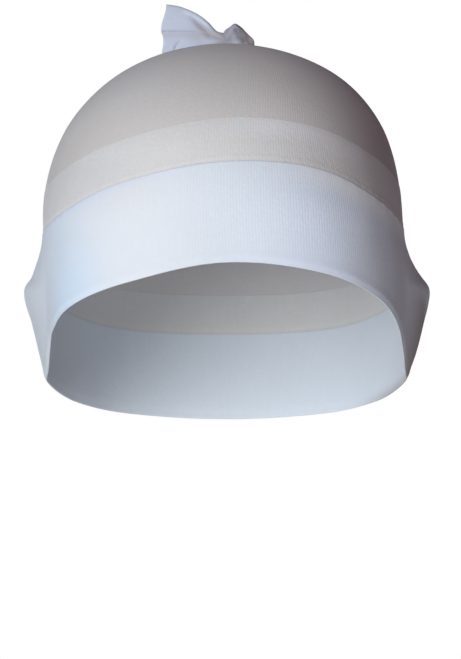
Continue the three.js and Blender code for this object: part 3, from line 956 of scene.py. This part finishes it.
def cuff_tints(wale, height, base):
    """Painted light on the shaded side, at its front, under the seam and on its bulge; painted bluish
    light at the seam and the fold on the lit side; painted shade on both bulges and on the brightest
    lit patch.
    """
    seam = kept(base, "below_seam")
    # Painted light under the seam on the shaded side.
    painted_light_under_seam = fall(seam, 1.5, 11) * rise(wale, 308, 352) * fall(wale, 430, 500)
    turned = rise(wale, 396, 452) * fall(wale, 470, 515) * rise(seam, 22, 31)
    return tinted(
        base,
        (near(wale, 262, 24) * 0.7, LIT_PATCH_SHADE),
        (near(wale, 334, 20) * 0.6, SHADED_FRONT_PAINTED_LIGHT),
        (painted_light_under_seam * 0.85, SHADED_SIDE_PAINTED_LIGHT),
        (near(wale, 235, 22) * (1 - rise(height, 5, 30) * 0.7) * 0.9, LOW_PAINTED_BLUE_LIGHT),
        (near(wale, 163, 26) * fall(height, 24, 42), LIT_SIDE_BULGE_PAINTED_SHADE),
        # Painted light on the shaded side's bulge, below the seam.
        (near(wale, 438, 28) * rise(seam, 1, 5) * fall(seam, 14, 21) * 0.9, SHADED_SIDE_PAINTED_LIGHT),
        # Painted shade on the shaded bulge, outer side only.
        (turned * kept(base, "outside") * 0.95, BULGE_SHADE),
        (fall(seam, 0.8, 3.4) * near(wale, 215, 68) * 0.6, SEAM_PAINTED_BLUE_LIGHT),
    )


cuff.data.materials.append(knit_material(
    "cuff_knit", (0.752, 0.824, 0.896), (0.696, 0.765, 0.838), tint=cuff_tints,
    course=0.95, relief=0.035, groove=0.10, streak=0.4, cloud=0.4, grain=0.8, grit=0.1, sheen=0.22,
))
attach(cuff, "root")
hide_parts("cuff_band")
print("cuff dressed")

# %% [markdown]
# ## Stitches along the seam
# The cuff is sewn on with an overlock seam, whose thread shows through the allowance as a row of
# small slanting dashes. They are real geometry here, because each catches the light on its own.
# A sweep of a small ring along a zigzag makes the whole row as one mesh.


# %% Sweep a thread
def thread(name, path, radius, sides=6):
    """A round thread along a closed path of points in mm."""
    ahead = unit(np.roll(path, -1, 0) - np.roll(path, 1, 0))
    side = unit(np.cross(ahead, path - CENTRE))
    up = np.cross(side, ahead)
    turn = even_turns(sides)
    rings = (
        path[:, None]
        + side[:, None] * np.cos(turn)[None, :, None] * radius
        + up[:, None] * np.sin(turn)[None, :, None] * radius
    )
    length = np.linalg.norm(np.roll(path, -1, 0) - path, axis=-1).cumsum()
    knit = np.stack(np.broadcast_arrays(np.linspace(0, 1, sides + 1), length[:, None]), -1)
    return skin(name, rings, knit)


STITCHES = 264
STITCH_LOW, STITCH_TOP = 0.5, 2.6
STITCH_POINTS = 8
STITCH_SINK = 0.08
THREAD_RADIUS = 0.12
stitch_rng = np.random.default_rng(5)
steps = np.arange(STITCHES * STITCH_POINTS)
swing = (steps % STITCH_POINTS) / STITCH_POINTS
lean = np.where(swing < 0.5, swing * 2, 2 - swing * 2)
lean = 0.5 - 0.5 * np.cos(math.pi * lean)
top_jitter = np.repeat(stitch_rng.uniform(-0.25, 0.25, STITCHES), STITCH_POINTS)
stitch_bearing = -math.pi + (steps + 0.5) * 2 * math.pi / len(steps)
stitch_low = edge("cuff_top", stitch_bearing) + STITCH_LOW
stitch_height = stitch_low + (STITCH_TOP - STITCH_LOW) * lean + top_jitter * lean
stitch_out = HEM_WALL + hem_relief(stitch_bearing, stitch_height) - STITCH_SINK
stitch_path = place_on(stitch_bearing, stitch_height, stitch_out)
stitches = thread("seam_stitches", stitch_path, THREAD_RADIUS)
print(STITCHES, "zigzags of thread")


# %% The thread's material
def thread_material(name, light, dark):
    """Sewing thread: two twisted plies across the thread."""
    material = bpy.data.materials.new(name)
    board = blank(material)
    around, along, _ = parts(board.node("ShaderNodeUVMap", {"uv_map": "knit"}))
    ply = 0.5 + (around * (4 * math.pi) + along * 9).math("SINE") * 0.5
    tone = blended(ply, (*dark, 1), (*light, 1))
    bump = {"Strength": 0.5, "Distance": 0.04 * MM, "Height": ply}
    finish_cloth(board, bump, {"Base Color": tone, "Roughness": 0.7, "Sheen Weight": 0.2})
    return material


stitches.data.materials.append(thread_material("seam_thread", (0.78, 0.78, 0.79), (0.73, 0.73, 0.74)))
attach(stitches, "root")
print("seam sewn")

# %% [markdown]
# ## Creases by pixels
# Bunched cloth is told apart by a few creases, and they have to lie where the photograph shows
# them. So a crease is a line of pixels, each turned into a place by the camera's own geometry.
# Real creases are lopsided: one side drops steeply under a roll of cloth and the other runs out
# slowly. Each therefore has a width for either side, and depths from its start to its end.

# %% Press creases into places
CREASE_SHARPNESS = 1.6
TO_FRONT = 3


def near_line(pixels, x, z, depth):
    """Distance in mm from a line of pixels, above 0 on its left, and the share of it passed."""
    line = np.array([behind_pixel(*pixel, depth)[[0, 2]] for pixel in pixels])
    ways = np.diff(line, axis=0)
    lengths = np.linalg.norm(ways, axis=-1)
    gap, side, passed = np.full(x.shape, np.inf), np.ones(x.shape), np.zeros(x.shape)
    for i, (start, way, length) in enumerate(zip(line[:-1], ways, lengths)):
        off_x, off_z = x - start[0], z - start[1]
        share = np.clip((off_x * way[0] + off_z * way[1]) / length**2, 0, 1)
        here = np.hypot(off_x - share * way[0], off_z - share * way[1])
        closer = here < gap
        gap = np.where(closer, here, gap)
        side = np.where(closer, np.sign(way[0] * off_z - way[1] * off_x), side)
        passed = np.where(closer, (lengths[:i].sum() + share * length) / lengths.sum(), passed)
    return gap * side, passed


def crease_depth_at(creases, x, z, middle):
    """How far creases press in the front of cloth whose middle lies at a depth."""
    total = np.zeros_like(x)
    for pixels, left_width, right_width, depths in creases:
        gap, passed = near_line(pixels, x, z, middle - TO_FRONT)
        width = np.where(gap > 0, left_width, right_width)
        press = np.interp(passed, np.linspace(0, 1, len(depths)), depths)
        total += press * np.exp(-((np.abs(gap) / width) ** CREASE_SHARPNESS))
    return total


print("a crease is its pixels, its widths to the left and the right, and its depths")

# %% [markdown]
# ## The knot
# The gathered end is tied over on itself. From the front that leaves a leaning lump: a flat light
# facet on the left, a peak, and a long slope to the right with a pit under the peak where the
# cloth dives in. It is turned from a profile, and folds wind round it, because cloth that is
# pulled through a loop gathers along the pull. A fine voxel remesh and some relaxing then round
# the folds as cloth does.

# %% The lump's profile
LUMP = table("along reach", [
    (-5.6, 0.0), (-5.3, 5.0), (-4.5, 7.2), (-2.7, 8.55), (-0.7, 9.7), (0.8, 10.25), (1.6, 10.1),
    (2.6, 9.0), (3.9, 6.95), (4.95, 4.8), (5.9, 3.2), (6.65, 2.0), (7.1, 1.2), (7.4, 0.0),
])
LUMP_PLACE = np.array([5.6, 28.0, 5.1])
LUMP_LEAN = math.radians(15)
LUMP_DEPTH = 0.86
LUMP_CREASES = [
    # pixels, widths to the left and the right, and depths from the start to the end
    ([(235, 24), (236, 27), (237, 32), (239, 40)], 1.6, 3.4, (0.4, 0.8, 0.3, 0.0)),
    ([(218, 34), (224, 38.5), (229, 45)], 0.7, 0.8, (0.5, 0.9, 0.7)),
    ([(230, 29), (231, 36), (230, 44)], 1.5, 1.5, (0.1, 0.4, 0.5)),
]
POLE_GAP = 0.02


def lump_rings(steps=130, sides=190):
    """The lump as rings along its leaning axis."""
    start, end = LUMP["along"][[0, -1]]
    sweep = np.linspace(POLE_GAP, math.pi - POLE_GAP, steps)[:, None]
    along = start + (end - start) * (1 - np.cos(sweep)) / 2
    turn = even_turns(sides)[None, :]
    broad_folds = 0.05 * (0.5 + 0.5 * np.cos(6 * turn + 0.5 * along))
    fine_folds = 0.022 * np.cos(11 * turn - 0.9 * along + 1.3)
    reach = read(LUMP, "reach", along) * (1 - broad_folds - fine_folds)
    c, s = math.cos(LUMP_LEAN), math.sin(LUMP_LEAN)
    x = along * c - reach * np.cos(turn) * s
    z = along * s + reach * np.cos(turn) * c
    y = reach * np.sin(turn) * LUMP_DEPTH
    points = np.stack([x, y, z], -1) + LUMP_PLACE
    front = np.clip(-points[..., 1] + LUMP_PLACE[1] + 1, 0, 1)
    press = crease_depth_at(LUMP_CREASES, points[..., 0], points[..., 2], LUMP_PLACE[1]) * front
    return points + unit(LUMP_PLACE - points) * press[..., None]


lump = lump_rings()
print("lump", lump.shape)


# %% Melt it into one skin
def capped(rings):
    """Points in mm and faces of rings that are closed at both ends."""
    rows, around = rings.shape[:2]
    points = np.concatenate([rings.reshape(-1, 3), [rings[0].mean(0), rings[-1].mean(0)]])
    k = np.arange(around)
    k2 = (k + 1) % around
    r = np.arange(rows - 1)[:, None] * around
    quads = np.stack([r + k, r + k2, r + around + k2, r + around + k], -1).reshape(-1, 4)
    first, last, base = rows * around, rows * around + 1, (rows - 1) * around
    ends = [(first, b, a) for a, b in zip(k.tolist(), k2.tolist())]
    ends += [(last, base + a, base + b) for a, b in zip(k.tolist(), k2.tolist())]
    return points, quads.tolist() + ends


def melted(name, points, faces, voxel, relax):
    """One relaxed skin round a closed solid, from voxels of a size in mm."""
    mesh = bpy.data.meshes.new(name)
    mesh.from_pydata((points * MM).tolist(), [], faces)
    rough_piece = linked(name + "_rough", mesh)
    remesh = rough_piece.modifiers.new("melt", "REMESH")
    remesh.mode = "VOXEL"
    remesh.voxel_size = voxel * MM
    smooth = rough_piece.modifiers.new("relax", "SMOOTH")
    smooth.factor = 0.5
    smooth.iterations = relax
    ready = rough_piece.evaluated_get(bpy.context.evaluated_depsgraph_get())
    skinned = bpy.data.meshes.new_from_object(ready)
    skinned.name = name
    bpy.data.objects.remove(rough_piece)
    skinned.shade_smooth()
    return linked(name, skinned)


knot = melted("tied_knot", *capped(lump), voxel=0.24, relax=4)
print(f"tied_knot: {len(knot.data.polygons)} faces")

# %% The knot's material
# Painted light on the knot's +X end and its flat facet.
KNOT_PAINTED_LIGHT = (0.90, 0.88, 0.92, 1)
# Painted shade in the pit under the peak and in a dip beside it.
PIT_SHADE = (0.20, 0.19, 0.20, 1)


def knot_tints(place, base):
    """Painted light at the knot's +X end and on the flat facet, painted shade where the cloth dives in.
    """
    x, _, z = parts(place)
    x, z = x / MM, z / MM
    pale = rise(x, 6.2, 9.6) + near(x, 4.3, 1.3) * near(z, 5.4, 0.9) * 0.15
    depth = rise(z, 4.6, 7.6) * fall(z, 11.4, 12.6) * (rise(z, 9.2, 11.0) * 0.16 + 0.64)
    pit = near(x + z * 0.35, 8.37, 1.15) * depth
    dip = near(x, 2.0, 1.3) * near(z, 7.0, 1.1) * 0.42
    return tinted(base, (pale, KNOT_PAINTED_LIGHT), (pit + dip, PIT_SHADE))


def bunched_material(name, light, dark):
    """Knit that is bunched too tightly to show its wales: fine grain and soft clouds."""
    material = bpy.data.materials.new(name)
    board = blank(material)
    place = board.node("ShaderNodeTexCoord", output="Object")
    grain = clouds(place, 1500.0, 1.0)
    patches = clouds(place, 160.0, 2.0)
    tone = blended(grain * 0.5 + patches * 0.9 + 0.5, (*light, 1), (*dark, 1))
    finish_cloth(board, {"Strength": 0.6, "Distance": 0.1 * MM, "Height": grain}, {
        "Base Color": knot_tints(place, tone),
        "Roughness": CLOTH_ROUGHNESS + patches * 0.08,
        "Sheen Weight": 0.15,
        "Specular IOR Level": 0.25,
    })
    return material


# The knot's colours are darker than the tail's: partly the denser bunched cloth, partly painted shade,
# since the knot lies out of the light.
knot.data.materials.append(bunched_material("knot_knit", (0.46, 0.48, 0.56), (0.39, 0.40, 0.47)))
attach(knot, "root")
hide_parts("knot")
print("knot dressed")

# %% [markdown]
# ## The tail
# Beyond the knot the tube is left about 25 mm long. It lies flat, flares to its open, cut
# mouth, and its front shows the creases that the photograph shows: a valley under a rolled upper
# edge, a long shallow one to the mouth and a short one near its lower corner. The front wall is
# pressed in along them, and pushed out a little where the cloth rises again at the root.

# %% The tail's outline
TAIL = table("share top_x top_z low_x low_z half", [
    (0.0, 0.8, 10.5, 1.4, 3.4, 2.6),
    (0.12, -3.6, 11.4, -3.2, 2.8, 3.3),
    (0.22, -7.1, 15.1, -6.8, 1.5, 3.1),
    (0.4, -11.4, 18.45, -11.0, -0.2, 2.8),
    (0.6, -16.0, 20.8, -15.6, -1.7, 2.6),
    (0.8, -20.7, 22.4, -20.1, -3.0, 2.5),
    (1.0, -25.4, 23.1, -24.6, -4.2, 2.4),
])
TAIL_DEPTH = 27.8
TAIL_WALL = 0.8
TAIL_COLUMNS, TAIL_ROWS, TAIL_INNER_ROWS = 320, 90, 76
TAIL_INNER_START = 0.12
MOUTH = table("across out", [
    (0.0, 0.2), (0.22, 2.3), (0.36, 1.7), (0.48, 1.75), (0.56, 2.5),
    (0.65, 2.3), (0.77, 1.35), (0.9, 0.2), (0.95, 0.1), (1.0, 0.0),
])
print("mouth", round(float(TAIL["top_z"][-1] - TAIL["low_z"][-1]), 1), "mm wide")

# %% The creases of the tail's front, by pixels
TAIL_CREASES = [
    # pixels, widths to the left and the right, and depths from the start to the end
    ([(190, 15.5), (196, 20), (203, 26.5), (210, 33), (217, 36)], 0.95, 1.8, (0.2, 1.2, 2.0, 1.8, 0.7)),
    ([(217, 36), (205, 33), (192, 32), (180, 31.5), (163, 32)], 2.2, 0.6, (0.3, 0.75, 0.9, 1.0, 1.05)),
    ([(174, 53), (176, 46), (181, 40)], 0.6, 0.9, (0.6, 0.5, 0.2)),
    ([(226, 40), (205, 41), (188, 44)], 1.4, 1.4, (-0.5, -0.5, -0.1)),
]
print(len(TAIL_CREASES), "creases on the tail")


# %% The tail's sides
def tail_rings(inset, rows):
    """Rings of the flattened tube from the knot to the mouth, inset by the cloth's thickness."""
    along = np.asarray(rows)[:, None]
    turn = even_turns(TAIL_COLUMNS)[None, :]
    top_x, top_z, low_x, low_z, half = (
        read(TAIL, c, along) for c in ("top_x", "top_z", "low_x", "low_z", "half")
    )
    height = np.hypot(top_x - low_x, top_z - low_z) / 2
    across = (1 + np.sin(turn) * (1 - inset / height)) / 2
    x = low_x + (top_x - low_x) * across - read(MOUTH, "out", across) * along**2
    z = low_z + (top_z - low_z) * across
    forward = np.cos(turn)
    depth = (half - inset) * np.sign(forward) * np.abs(forward) ** 0.7
    pressed = crease_depth_at(TAIL_CREASES, x, z, TAIL_DEPTH) * np.clip(forward * 3, 0, 1)
    waves = 0.6 * np.cos(across * 19 + 0.7)
    behind = waves * np.clip(-forward * 3, 0, 1) * np.minimum(1, along * 2.5)
    return np.stack([x, TAIL_DEPTH - depth + pressed + behind, z], -1)


outer_tail = tail_rings(0, np.linspace(0, 1, TAIL_ROWS))
inner_tail = tail_rings(TAIL_WALL, np.linspace(TAIL_INNER_START, 1, TAIL_INNER_ROWS))
print("tail rings", outer_tail.shape)

# %% The tail's shell
TAIL_WALES = 96
TAIL_LENGTH, LIP_LENGTH, INNER_ROOT = 26, 26.2, 3
LIP_ROUNDING = 0.3
lip = (outer_tail[-1] + inner_tail[-1]) / 2 - np.array([LIP_ROUNDING, 0, 0])
tail_sides = np.concatenate([outer_tail, lip[None], inner_tail[::-1]])
tail_length = np.concatenate([
    np.linspace(0, TAIL_LENGTH, TAIL_ROWS),
    [LIP_LENGTH],
    np.linspace(TAIL_LENGTH, INNER_ROOT, TAIL_INNER_ROWS),
])
tail_wale = np.linspace(0, TAIL_WALES, TAIL_COLUMNS + 1)
tail_knit = np.stack(np.broadcast_arrays(tail_wale[None, :], tail_length[:, None]), -1)
tail = skin("flared_tail", tail_sides, tail_knit)


# %% Keep how deep each point lies in a crease, and how far below the top
def tail_press(x, y, z):
    """How many mm the creases press the tail's front in at places on it."""
    return np.clip(crease_depth_at(TAIL_CREASES, x, z, TAIL_DEPTH), 0, None) * (y < TAIL_DEPTH)


def from_top(x, y, z):
    """How many mm places lie below the tail's upper edge."""
    return np.interp(-x, -TAIL["top_x"], TAIL["top_z"]) - z


keep_number(tail, "from_top", from_top)
print("deepest point", round(float(keep_number(tail, "press", tail_press).max()), 2), "mm")

# %% The tail's material
# Painted shade in the creases.
CREASE_SHADE = (0.43, 0.36, 0.32, 1)
# Painted shade at the root by the knot and low on the tail's front.
ROOT_SHADE = (0.44, 0.42, 0.45, 1)
# Painted highlight along the rolled top edge.
ROLL_PAINTED_HIGHLIGHT = (0.73, 0.84, 1.0, 1)


def tail_tints(wale, height, base):
    """Painted shade in the creases, at the bunched root and low on the front, and a painted highlight
    along the roll at the top.
    """
    below_top = kept(base, "from_top")
    root = fall(height, 0, 8) * 0.75 + fall(height, 0, 4) * 0.25
    low = near(below_top, 11.5, 3.5) * near(height, 11, 5) * 0.3
    roll = near(below_top, 1.8, 1.4) * rise(height, 4, 8) * fall(height, 16, 21)
    return tinted(
        base,
        (root + low, ROOT_SHADE),
        (roll * 0.9, ROLL_PAINTED_HIGHLIGHT),
        (kept(base, "press") * 0.3, CREASE_SHADE),
    )


tail.data.materials.append(knit_material(
    "tail_knit", (0.67, 0.74, 0.885), (0.59, 0.65, 0.785), tint=tail_tints, wales=TAIL_WALES,
    course=0.6, relief=0.06, groove=0.08, streak=0.12, cloud=0.4, grain=0.6, grit=0.08, sheen=0.15,
))
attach(tail, "root")
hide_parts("tail")
print("tail dressed")

# %% [markdown]
# ## How the cloths are cut
# Knit is cut smaller than the form it goes over, and its stretch holds it there. Each sheet's
# flat size is a guess from its seams and from how far such knit stretches: the hem zone and the
# cuff are knitted wider than the crown. The tail is not stretched, only bunched by the knot.

print("all five parts dressed")

# %% [markdown]
# The dressed cap may stand only a little proud of the CAD parts.
